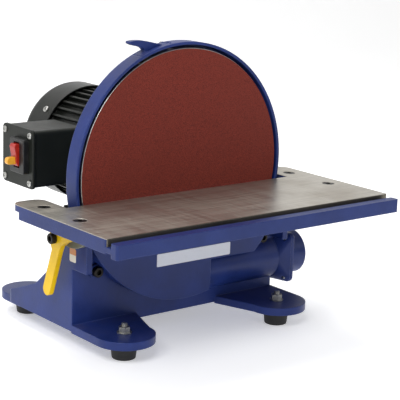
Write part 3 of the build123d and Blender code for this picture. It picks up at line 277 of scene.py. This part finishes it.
def bright_metal(name, colour, roughness, streak=(400.0, 400.0, 400.0), wear=0.0):
    """Bare or plated metal: fine streaks in one direction, with dulled patches."""
    made, tree, shader = new_material(name)
    spot = add(tree, "TexCoord").outputs["Object"]
    grain = add(tree, "Mapping", {"Vector": spot, "Scale": streak}).outputs[0]
    lines = noise(tree, grain, 1.0, 4.0, 0.6)
    dull = ramp(tree, noise(tree, spot, 60.0, 5.0, 0.6), 0.35, 0.75)
    dark = tuple(c * (0.72 - wear) for c in colour[:3]) + (1.0,)
    tree.links.new(blend(tree, dull, colour, dark), shader.inputs["Base Color"])
    shader.inputs["Metallic"].default_value = 1.0
    rough = math(tree, "ADD", ramp(tree, lines, 0.3, 0.7, roughness - 0.06, roughness + 0.08),
                 math(tree, "MULTIPLY", dull, 0.12), clamp=True)
    tree.links.new(rough, shader.inputs["Roughness"])
    bump = add(tree, "Bump", {"Strength": 0.25, "Distance": 0.00008, "Height": lines})
    tree.links.new(bump.outputs[0], shader.inputs["Normal"])
    return made


zinc = bright_metal("zinc plate", srgb(190, 190, 186), 0.34)
black_oxide = bright_metal("black oxide steel", srgb(52, 50, 48), 0.42)
for name in ("foot_washers", "foot_nuts", "rear_foot_screws"):
    softened(name, zinc, 0.0002, 2)


def tube_mesh(name, rings, material):
    """Joins rings of points, an array of ring by point by xyz, into one closed skin.

    Each quad takes two neighbours on one ring and the same two on the next, and
    a fan of triangles round a middle point closes each end."""
    count, around = rings.shape[:2]
    step = np.arange(around)
    after = (step + 1) % around
    base_index = np.arange(count - 1)[:, None] * around
    quads = np.stack([base_index + step, base_index + after, base_index + around + after,
                      base_index + around + step], axis=-1).reshape(-1, 4)
    ends = np.array([rings[0].mean(0), rings[-1].mean(0)])
    first = np.stack([np.full(around, count * around), after, step], axis=-1)
    far = (count - 1) * around
    last = np.stack([np.full(around, count * around + 1), far + step, far + after], axis=-1)
    data = bpy.data.meshes.new(name)
    data.from_pydata(np.concatenate([rings.reshape(-1, 3), ends]).tolist(), [],
                     quads.tolist() + first.tolist() + last.tolist())
    data.polygons.foreach_set("use_smooth", np.ones(len(data.polygons), dtype=bool))
    data.set_sharp_from_angle(angle=radians(40))
    data.materials.append(material)
    return data


def threaded_stud(centre, low, high, radius, pitch):
    """Rings of a threaded rod along Z.

    The radius swings between crest and root as a rounded triangle wave of
    height / pitch minus turn, so the crest climbs one pitch in one turn, and it
    narrows to a cone at both ends."""
    turns = np.linspace(0, 2 * np.pi, 32, endpoint=False)
    levels = np.linspace(low, high, int((high - low) / pitch * 10))
    level, angle = np.meshgrid(levels, turns, indexing="ij")
    phase = (level / pitch - angle / (2 * np.pi)) % 1.0
    wave = np.clip(np.abs(phase - 0.5) * 2.6 - 0.15, 0.0, 1.0)
    thread_depth, cone_length, cone_depth = 0.5 * pitch, 0.0008, 0.0007
    taper = np.clip(np.minimum(level - low, high - level) / cone_length, 0.0, 1.0)
    reach = radius - thread_depth * wave - cone_depth * (1 - taper)
    return np.stack([centre[0] + reach * np.cos(angle), centre[1] + reach * np.sin(angle),
                     level], axis=-1)


low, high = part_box("foot_studs")
stud_radius = (high.y - low.y) / 2
stud_pitch = 0.00125
for side, x in (("left", low.x + stud_radius), ("right", high.x - stud_radius)):
    rings = threaded_stud((x, (low.y + high.y) / 2), low.z, high.z, stud_radius, stud_pitch)
    label = f"{side}_foot_stud"
    stand_in(label, tube_mesh(label, rings, zinc), "foot_studs")

# ---------------------------------------------------------- guard over the disc
# The arched guard is pressed and welded from sheet and sprayed in the same blue.
# Four screws hold its back plate to the casting.
softened("disc_guard", blue_enamel, 0.0006)
softened("guard_screws", zinc, 0.0003, 2)

# ------------------------------------------------------------- lower front cover
# A thin half-round casting closes the pocket in front of the lower disc and
# carries the front half of the duct.  Two dull socket cap screws hold it.
softened("lower_cover", blue_enamel, 0.0010)
softened("cover_screws", black_oxide, 0.0003, 2)

# --------------------------------------------------------------------- dust port
# The square flange with its round collar is an aluminium casting, sprayed blue,
# on the end of the duct with four small screws.
softened("dust_port", blue_enamel, 0.0008)
softened("port_screws", zinc, 0.0002, 2)

# ------------------------------------------------------------ disc and abrasive
# The disc is a turned aluminium plate on the motor's shaft.  The abrasive is a
# cloth-backed sheet of red-brown grain stuck to its face, a little smaller, so
# that a bright line of bare plate shows all round.


def turned_about_axis(centre, profile, steps):
    """Rings of a shape turned about Y: each point of the profile is (radius, depth)."""
    turns = np.linspace(0, 2 * np.pi, steps, endpoint=False)
    reach = np.array(profile)[:, 0, None]
    depth = np.array(profile)[:, 1, None] + 0 * turns
    return np.stack([centre[0] + reach * np.sin(turns), depth, centre[2] + reach * np.cos(turns)],
                    axis=-1)


def grit(name):
    """Coated abrasive: packed red-brown grains, dark between them, with faint swirls of use."""
    made, tree, shader = new_material(name)
    spot = add(tree, "TexCoord").outputs["Object"]
    grains = add(tree, "TexVoronoi", {"Vector": spot, "Scale": 950.0}, feature="F1")
    fine = noise(tree, spot, 1500.0, 4.0, 0.7)
    patch = noise(tree, spot, 9.0, 5.0, 0.6)
    dark = srgb(98, 27, 16)
    light = srgb(134, 44, 28)
    tint = blend(tree, ramp(tree, grains.outputs["Distance"], 0.15, 0.75), light, dark)
    tint = blend(tree, ramp(tree, fine, 0.55, 0.8), tint, srgb(148, 56, 38))
    tint = blend(tree, ramp(tree, patch, 0.4, 0.75, 0.0, 0.35), tint, srgb(104, 34, 22))
    tree.links.new(tint, shader.inputs["Base Color"])
    shader.inputs["Roughness"].default_value = 0.88
    height = math(tree, "SUBTRACT", math(tree, "MULTIPLY", fine, 0.5), grains.outputs["Distance"])
    bump = add(tree, "Bump", {"Strength": 0.7, "Distance": 0.0004, "Height": height})
    tree.links.new(bump.outputs[0], shader.inputs["Normal"])
    return made


low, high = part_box("abrasive_disc")
centre = (low + high) / 2
radius = (high.x - low.x) / 2
front, back = low.y, high.y
cut_edge = 0.0004
paper = turned_about_axis(centre, [(radius / 2, front), (radius - cut_edge, front),
                                   (radius, front + cut_edge), (radius, back),
                                   (radius / 2, back)], 240)
stand_in("abrasive_sheet", tube_mesh("abrasive_sheet", paper[::-1], grit("red-brown abrasive")),
         "abrasive_disc")
softened("disc_plate", bright_metal("turned aluminium", srgb(205, 205, 203), 0.3), 0.0)
machined = bright_metal("ground shaft steel", srgb(165, 165, 163), 0.28)
for name in ("motor_shaft", "front_bearing", "rear_bearing"):
    softened(name, machined, 0.0)
for name in ("hub_key", "hub_screws"):
    softened(name, black_oxide, 0.0)

# ------------------------------------------------------------------------- motor
# The finned frame and the two bells are cast, and the fan cover is drawn from
# sheet; all are sprayed satin black.  Inside are the wound stator, the rotor
# and a moulded fan.
# the lighter edge colour is a painted highlight along the edges as well as wear
motor_black = enamel("motor black", srgb(27, 30, 27), srgb(66, 68, 64), 0.36, 0.0003,
                     wear=0.36, dust=0.05)
softened("motor_frame", motor_black, 0.0004, 2)
for name in ("front_bell", "rear_bell"):
    softened(name, motor_black, 0.0005, 2)
softened("fan_cover", motor_black, 0.0)
for name in ("fan_cover_screws", "motor_washers"):
    softened(name, zinc, 0.00015, 2)
softened("motor_bolts", black_oxide, 0.0004, 2)
laminated = bright_metal("stacked core steel", srgb(96, 96, 98), 0.45, (60.0, 4000.0, 60.0))
for name in ("stator_core", "rotor_core"):
    softened(name, laminated, 0.0)
softened("stator_windings", bright_metal("varnished copper", srgb(168, 92, 56), 0.4,
                                         (900.0, 300.0, 900.0)), 0.0)
black_plastic = moulded("black plastic", srgb(24, 25, 25), 0.4, 700.0, 0.00012)
softened("cooling_fan", black_plastic, 0.0)

# -------------------------------------------------------------------- switch box
# A deep die-cast box stands on the motor's terminal pad under a lipped cover
# with four cross-head screws.  The switch has a red paddle with a yellow key.
# the lighter edge colour is a painted highlight along the edges as well as wear
box_black = enamel("switch box black", srgb(30, 33, 29), srgb(74, 76, 70), 0.42, 0.0004,
                   wear=0.38, dust=0.06)
softened("switch_box", box_black, 0.0006)
softened("switch_cover", box_black, 0.0005)
for name in ("switch_cover_screws", "switch_box_screws", "paddle_pin"):
    softened(name, zinc, 0.00015, 2)
softened("switch_bezel", black_plastic, 0.0006)
softened("cable_gland", black_plastic, 0.0004, 2)
softened("switch_paddle", moulded("red plastic", srgb(168, 34, 22), 0.34, 500.0, 0.00008), 0.0008)
softened("switch_key", moulded("yellow plastic", srgb(240, 170, 50), 0.32, 500.0, 0.00008), 0.0007)

# ------------------------------------------------------------------------- table
# The table is one iron casting.  Its top and the front edge above the gauge
# groove are ground bare in long passes; the skirt, the rail and the groove keep
# their blue enamel.  Four countersunk screws go down into the brackets.


def ground_table(name, top, edge_front, edge_low):
    """Bare ground iron on the top and front edge, blue enamel everywhere else.

    The ground skin is the top 0.7 mm, and the front edge is what lies within
    0.9 mm of its face above the groove."""
    made, tree, shader = new_material(name)
    spot = add(tree, "TexCoord").outputs["Object"]
    where = add(tree, "SeparateXYZ", {0: spot})
    on_top = math(tree, "GREATER_THAN", where.outputs["Z"], top - 0.0007)
    from_edge = math(tree, "ABSOLUTE", math(tree, "SUBTRACT", where.outputs["Y"], edge_front))
    near = math(tree, "LESS_THAN", from_edge, 0.0009)
    above = math(tree, "GREATER_THAN", where.outputs["Z"], edge_low)
    on_edge = math(tree, "MULTIPLY", near, above)
    bare = math(tree, "MAXIMUM", on_top, on_edge)
    painted = math(tree, "SUBTRACT", 1.0, bare)
    along = add(tree, "Mapping", {"Vector": spot, "Scale": (9.0, 900.0, 30.0)}).outputs[0]
    passes = noise(tree, along, 1.0, 5.0, 0.6)
    across = add(tree, "Mapping", {"Vector": spot, "Scale": (260.0, 10.0, 30.0)}).outputs[0]
    cross = noise(tree, across, 1.0, 4.0, 0.6)
    stain = noise(tree, spot, 11.0, 6.0, 0.62)
    metal = blend(tree, ramp(tree, passes, 0.3, 0.7), srgb(172, 166, 156), srgb(204, 199, 188))
    metal = blend(tree, ramp(tree, stain, 0.4, 0.7, 0.0, 0.5), metal, srgb(160, 150, 138))
    # painted shade: the ground front edge is darkened to a dark olive, standing in for the shadow
    # on it and the painted reflection of the dark groove below
    metal = blend(tree, math(tree, "MULTIPLY", on_edge, 0.75), metal, srgb(66, 62, 48))
    skin = place(tree, cast_skin, {})
    edges = place(tree, edge_wear_and_highlight, {"Radius": 0.0015, "Reach": 0.42})
    paint = blend(tree, ramp(tree, skin["Cloud"], 0.35, 0.65), srgb(27, 43, 98), srgb(32, 50, 110))
    # the blue's edges are painted in the lit blue: worn paint and a painted highlight along the
    # edges
    paint = blend(tree, edges["Mask"], paint, srgb(70, 84, 146))
    tree.links.new(blend(tree, bare, paint, metal), shader.inputs["Base Color"])
    tree.links.new(math(tree, "MULTIPLY", bare, 0.9), shader.inputs["Metallic"])
    shader.inputs["Specular IOR Level"].default_value = 0.25
    sheen = ramp(tree, math(tree, "ADD", math(tree, "MULTIPLY", passes, 0.6),
                            math(tree, "MULTIPLY", cross, 0.4)), 0.3, 0.7, 0.27, 0.44)
    sheen = math(tree, "ADD", sheen, ramp(tree, stain, 0.4, 0.7, 0.0, 0.12))
    rough = math(tree, "ADD", math(tree, "MULTIPLY", sheen, bare),
                 math(tree, "MULTIPLY", painted, 0.36))
    tree.links.new(rough, shader.inputs["Roughness"])
    marks = math(tree, "MULTIPLY", math(tree, "ADD", passes, math(tree, "MULTIPLY", cross, 0.3)),
                 math(tree, "MULTIPLY", bare, 0.12))
    rough_skin = math(tree, "MULTIPLY", skin["Height"], painted)
    bump = add(tree, "Bump", {"Strength": 0.5, "Distance": 0.0006, "Normal": edges["Normal"],
                              "Height": math(tree, "ADD", marks, rough_skin)})
    tree.links.new(bump.outputs[0], shader.inputs["Normal"])
    return made


low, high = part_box("table")
groove_back = low.y + 0.020
groove_bottom = high.z - 0.0088
softened("table", ground_table("ground table iron", high.z, groove_back, groove_bottom), 0.0005)
softened("table_screws", black_oxide, 0.0002, 2)

# --------------------------------------------------------- brackets and guide pins
# The two half-round brackets are bare grey iron castings under the ends of the
# table.  They turn on steel pins in the ears of the base.
raw_iron = enamel("bare cast iron", srgb(112, 112, 98), srgb(160, 160, 150), 0.55, 0.0005,
                  wear=0.4, dust=0.05)
for name in ("left_trunnion", "right_trunnion"):
    softened(name, raw_iron, 0.0008)
softened("guide_pins", zinc, 0.0004, 2)

# ------------------------------------------------------------- table lock lever
# A flat cast lever, sprayed yellow, turns the black cap screw that clamps the
# left bracket to the ear of the base.
yellow_enamel = enamel("yellow enamel", srgb(226, 184, 16), srgb(184, 142, 24), 0.3, 0.0004,
                       wear=0.38, dust=0.04)
softened("lock_lever", yellow_enamel, 0.0014, 4)
softened("lock_screw", black_oxide, 0.0004, 2)

# ------------------------------------------------------------------- disc brake
# A curved strip hinged in the guard's rim curls up into a thumb horn.  Pressing
# it brings a moulded shoe onto the disc; a coil spring on the pin lifts it.
softened("brake_lever", blue_enamel, 0.0009)
softened("brake_shoe", moulded("brake lining", srgb(70, 62, 56), 0.85, 600.0, 0.0003), 0.0003)
softened("brake_pin", zinc, 0.0002, 2)


def coil_tube(centre, start, end, radius, wire, turns):
    """Rings of a wire wound about Y.

    The middle of the wire follows a helix of the given radius from start to
    end, and each ring lies across the radial direction and Y."""
    along = np.linspace(0, 1, turns * 24)
    angle = 2 * np.pi * turns * along
    outward = np.stack([np.cos(angle), 0 * angle, np.sin(angle)], axis=-1)
    middle = np.array([centre[0], 0, centre[2]]) + radius * outward
    middle[:, 1] = start + (end - start) * along
    turn = np.linspace(0, 2 * np.pi, 10, endpoint=False)
    across = outward[:, None] * np.cos(turn)[None, :, None]
    lift = np.array([0, 1, 0])[None, None] * np.sin(turn)[None, :, None]
    return middle[:, None] + wire * (across + lift)


low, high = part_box("brake_spring")
centre = (low + high) / 2
wire, turns = 0.00045, 5
rings = coil_tube(centre, low.y + wire, high.y - wire, (high.x - low.x) / 2 - wire, wire, turns)
stand_in("brake_return_spring", tube_mesh("brake_return_spring", rings, zinc), "brake_spring")

# ------------------------------------------------------------------------ labels
# A plain white plate is riveted to the cover, and a small two-colour label sits
# on the left side.  Neither carries any mark.


def printed_film(name, ground, band, band_low):
    """A printed label: a ground colour, with a coloured band from the given height up."""
    made, tree, shader = new_material(name)
    spot = add(tree, "TexCoord").outputs["Object"]
    level = add(tree, "SeparateXYZ", {0: spot}).outputs["Z"]
    banded = math(tree, "GREATER_THAN", level, band_low)
    fade = ramp(tree, noise(tree, spot, 220.0, 4.0, 0.6), 0.5, 0.9, 0.0, 0.12)
    tint = blend(tree, banded, ground, band)
    tree.links.new(blend(tree, fade, tint, srgb(150, 145, 135)), shader.inputs["Base Color"])
    tree.links.new(ramp(tree, fade, 0.0, 0.12, 0.35, 0.5), shader.inputs["Roughness"])
    return made


white = srgb(226, 229, 236)
low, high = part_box("name_plate")
softened("name_plate", printed_film("white plate", white, white, high.z), 0.0002, 2)
low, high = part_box("side_label")
softened("side_label", printed_film("side label", srgb(226, 220, 205), srgb(205, 130, 60),
                                    low.z + 0.009), 0.0)

# ---------------------------------------------------------- floor, light, camera
# A plain white sheet, three soft boxes and a pale room; the camera stands to the
# left and a little above, as one looks at the machine on a shop's table.
sweep = np.array([(-4.0, 0.0), (1.6, 0.0), (2.6, 0.15), (3.2, 0.9), (3.3, 4.0)])
data = bpy.data.meshes.new("floor_sheet")
rows = np.concatenate([np.c_[np.full(5, x), sweep] for x in (-5.0, 5.0)])
data.from_pydata(rows.tolist(), [], [(i, i + 5, i + 6, i + 1) for i in range(4)])
paper_white, tree, shader = new_material("floor paper")
spot = add(tree, "TexCoord").outputs["Object"]
tree.links.new(blend(tree, noise(tree, spot, 3.0), srgb(250, 250, 250), srgb(254, 254, 254)),
               shader.inputs["Base Color"])
shader.inputs["Roughness"].default_value = 0.7
shader.inputs["Emission Color"].default_value = (1.0, 1.0, 1.0, 1.0)
shader.inputs["Emission Strength"].default_value = 0.4
data.materials.append(paper_white)
floor = bpy.data.objects.new("floor_sheet", data)
bpy.context.collection.objects.link(floor)

middle = Vector((0.0, -0.05, 0.18))


def soft_box(name, place_at, size, power):
    """An area light that faces the middle of the machine."""
    light = bpy.data.lights.new(name, "AREA")
    light.shape = "RECTANGLE"
    light.size, light.size_y = size
    light.energy = power
    lamp = bpy.data.objects.new(name, light)
    lamp.location = place_at
    lamp.rotation_euler = (middle - Vector(place_at)).to_track_quat("-Z", "Y").to_euler()
    bpy.context.collection.objects.link(lamp)


soft_box("key light", (-1.7, -1.3, 1.9), (1.2, 0.9), 40.0)
soft_box("fill light", (1.9, -1.4, 1.0), (1.2, 1.0), 4.0)
soft_box("top light", (0.1, 0.5, 2.2), (1.6, 1.2), 24.0)
room = bpy.data.worlds.new("pale room")
room.use_nodes = True
room.node_tree.nodes["Background"].inputs["Color"].default_value = (1.0, 1.0, 1.0, 1.0)
room.node_tree.nodes["Background"].inputs["Strength"].default_value = 0.3
bpy.context.scene.world = room
bpy.context.scene.view_settings.view_transform = "Standard"

yaw, pitch, roll = radians(39.1), radians(13.1), radians(2.0)
target = Vector((0.0282, -0.0485, 0.1659))
distance = 1.6962
ahead = Vector((sin(yaw) * cos(pitch), cos(yaw) * cos(pitch), -sin(pitch)))
right = Vector((cos(yaw), -sin(yaw), 0.0))
up = right.cross(ahead)
tilted_right = right * cos(roll) + up * sin(roll)
tilted_up = up * cos(roll) - right * sin(roll)
stand = Matrix((tilted_right, tilted_up, -ahead)).transposed().to_4x4()
stand.translation = target - ahead * distance
lens = bpy.data.cameras.new("camera")
lens.sensor_width = 36.0
lens.lens = 120.2
camera = bpy.data.objects.new("camera", lens)
camera.matrix_world = stand
bpy.context.collection.objects.link(camera)
bpy.context.scene.camera = camera
